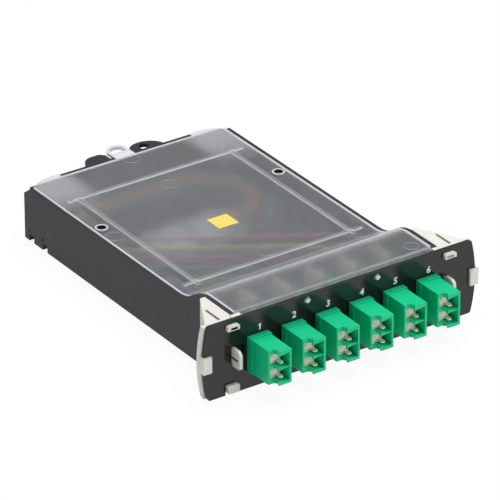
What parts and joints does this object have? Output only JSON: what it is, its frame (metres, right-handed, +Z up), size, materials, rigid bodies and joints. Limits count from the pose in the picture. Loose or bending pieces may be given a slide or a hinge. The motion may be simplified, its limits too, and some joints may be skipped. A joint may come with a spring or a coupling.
{
  "type": "fibre splice module",
  "caption": "Flat splice tray with a frosted cover, a wide faceplate with duplex adapters, end latches, pigtails and splices inside.",
  "frame": {"origin": "middle of the faceplate's rear face, between the third and fourth adapter", "axes": "+X to the right along the faceplate seen from the front, +Y back into the tray, +Z up"},
  "size_m": [0.1314, 0.1802, 0.0324],
  "materials": {
    "faceplate_black": "satin",
    "tray_black": "satin",
    "cover_frosted": "frosted",
    "sticker_yellow": "satin",
    "latch_white": "satin",
    "ceramic_white": "satin",
    "holder_grey": "matte",
    "protector_clear": "clear",
    "adapter_green": "satin",
    "shutter_ivory": "satin",
    "plug_green": "satin",
    "fibre_blue": "satin",
    "fibre_orange": "satin",
    "fibre_green": "satin",
    "fibre_brown": "satin",
    "fibre_slate": "satin",
    "fibre_white": "satin",
    "fibre_red": "satin",
    "fibre_black": "satin",
    "fibre_yellow": "satin",
    "fibre_violet": "satin",
    "fibre_rose": "satin",
    "fibre_aqua": "satin"
  },
  "bodies": {
    "module": {"faceplate": "faceplate_black", "tray": "tray_black", "latch_bracket_left": "latch_white", "latch_bracket_right": "latch_white", "alignment_sleeves": "ceramic_white", "splice_holder": "holder_grey", "splice_protectors": "protector_clear", "shutter_seats": "shutter_ivory", "adapter_1": "adapter_green", "pigtail_plug_1_upper": "plug_green", "pigtail_fibre_1_upper": "fibre_blue", "pigtail_plug_1_lower": "plug_green", "pigtail_fibre_1_lower": "fibre_orange", "adapter_2": "adapter_green", "pigtail_plug_2_upper": "plug_green", "pigtail_fibre_2_upper": "fibre_green", "pigtail_plug_2_lower": "plug_green", "pigtail_fibre_2_lower": "fibre_brown", "adapter_3": "adapter_green", "pigtail_plug_3_upper": "plug_green", "pigtail_fibre_3_upper": "fibre_slate", "pigtail_plug_3_lower": "plug_green", "pigtail_fibre_3_lower": "fibre_white", "adapter_4": "adapter_green", "pigtail_plug_4_upper": "plug_green", "pigtail_fibre_4_upper": "fibre_red", "pigtail_plug_4_lower": "plug_green", "pigtail_fibre_4_lower": "fibre_black", "adapter_5": "adapter_green", "pigtail_plug_5_upper": "plug_green", "pigtail_fibre_5_upper": "fibre_yellow", "pigtail_plug_5_lower": "plug_green", "pigtail_fibre_5_lower": "fibre_violet", "adapter_6": "adapter_green", "pigtail_plug_6_upper": "plug_green", "pigtail_fibre_6_upper": "fibre_rose", "pigtail_plug_6_lower": "plug_green", "pigtail_fibre_6_lower": "fibre_aqua"},
    "cover": {"cover": "cover_frosted", "cover_sticker": "sticker_yellow"},
    "lever_left": {"release_lever_left": "latch_white"},
    "lever_right": {"release_lever_right": "latch_white"},
    "shutter_1_upper": {"shutter_1_upper": "shutter_ivory"},
    "shutter_1_lower": {"shutter_1_lower": "shutter_ivory"},
    "shutter_2_upper": {"shutter_2_upper": "shutter_ivory"},
    "shutter_2_lower": {"shutter_2_lower": "shutter_ivory"},
    "shutter_3_upper": {"shutter_3_upper": "shutter_ivory"},
    "shutter_3_lower": {"shutter_3_lower": "shutter_ivory"},
    "shutter_4_upper": {"shutter_4_upper": "shutter_ivory"},
    "shutter_4_lower": {"shutter_4_lower": "shutter_ivory"},
    "shutter_5_upper": {"shutter_5_upper": "shutter_ivory"},
    "shutter_5_lower": {"shutter_5_lower": "shutter_ivory"},
    "shutter_6_upper": {"shutter_6_upper": "shutter_ivory"},
    "shutter_6_lower": {"shutter_6_lower": "shutter_ivory"}
  },
  "joints": [
    {"name": "cover_tilt", "type": "hinge", "parent": "module", "child": "cover", "pos_m": [0, -0.00075, 0.0138], "axis": [1, 0, 0], "range_deg": [0, 25]},
    {"name": "lever_left_squeeze", "type": "hinge", "parent": "module", "child": "lever_left", "pos_m": [-0.0509, 0.014, 0], "axis": [0, 0, 1], "range_deg": [0, 4], "stiffness_Nm_per_rad": 0.5},
    {"name": "lever_right_squeeze", "type": "hinge", "parent": "module", "child": "lever_right", "pos_m": [0.0509, 0.014, 0], "axis": [0, 0, 1], "range_deg": [-4, 0], "stiffness_Nm_per_rad": 0.5},
    {"name": "shutter_1_upper_flap", "type": "hinge", "parent": "module", "child": "shutter_1_upper", "pos_m": [-0.0397, -0.0133, 0.00068], "axis": [1, 0, 0], "range_deg": [-75, 0], "stiffness_Nm_per_rad": 0.001},
    {"name": "shutter_1_lower_flap", "type": "hinge", "parent": "module", "child": "shutter_1_lower", "pos_m": [-0.0397, -0.0133, -0.00556], "axis": [1, 0, 0], "range_deg": [-75, 0], "stiffness_Nm_per_rad": 0.001},
    {"name": "shutter_2_upper_flap", "type": "hinge", "parent": "module", "child": "shutter_2_upper", "pos_m": [-0.02362, -0.0133, 0.00068], "axis": [1, 0, 0], "range_deg": [-75, 0], "stiffness_Nm_per_rad": 0.001},
    {"name": "shutter_2_lower_flap", "type": "hinge", "parent": "module", "child": "shutter_2_lower", "pos_m": [-0.02362, -0.0133, -0.00556], "axis": [1, 0, 0], "range_deg": [-75, 0], "stiffness_Nm_per_rad": 0.001},
    {"name": "shutter_3_upper_flap", "type": "hinge", "parent": "module", "child": "shutter_3_upper", "pos_m": [-0.00754, -0.0133, 0.00068], "axis": [1, 0, 0], "range_deg": [-75, 0], "stiffness_Nm_per_rad": 0.001},
    {"name": "shutter_3_lower_flap", "type": "hinge", "parent": "module", "child": "shutter_3_lower", "pos_m": [-0.00754, -0.0133, -0.00556], "axis": [1, 0, 0], "range_deg": [-75, 0], "stiffness_Nm_per_rad": 0.001},
    {"name": "shutter_4_upper_flap", "type": "hinge", "parent": "module", "child": "shutter_4_upper", "pos_m": [0.00854, -0.0133, 0.00068], "axis": [1, 0, 0], "range_deg": [-75, 0], "stiffness_Nm_per_rad": 0.001},
    {"name": "shutter_4_lower_flap", "type": "hinge", "parent": "module", "child": "shutter_4_lower", "pos_m": [0.00854, -0.0133, -0.00556], "axis": [1, 0, 0], "range_deg": [-75, 0], "stiffness_Nm_per_rad": 0.001},
    {"name": "shutter_5_upper_flap", "type": "hinge", "parent": "module", "child": "shutter_5_upper", "pos_m": [0.02462, -0.0133, 0.00068], "axis": [1, 0, 0], "range_deg": [-75, 0], "stiffness_Nm_per_rad": 0.001},
    {"name": "shutter_5_lower_flap", "type": "hinge", "parent": "module", "child": "shutter_5_lower", "pos_m": [0.02462, -0.0133, -0.00556], "axis": [1, 0, 0], "range_deg": [-75, 0], "stiffness_Nm_per_rad": 0.001},
    {"name": "shutter_6_upper_flap", "type": "hinge", "parent": "module", "child": "shutter_6_upper", "pos_m": [0.0407, -0.0133, 0.00068], "axis": [1, 0, 0], "range_deg": [-75, 0], "stiffness_Nm_per_rad": 0.001},
    {"name": "shutter_6_lower_flap", "type": "hinge", "parent": "module", "child": "shutter_6_lower", "pos_m": [0.0407, -0.0133, -0.00556], "axis": [1, 0, 0], "range_deg": [-75, 0], "stiffness_Nm_per_rad": 0.001}
  ]
}
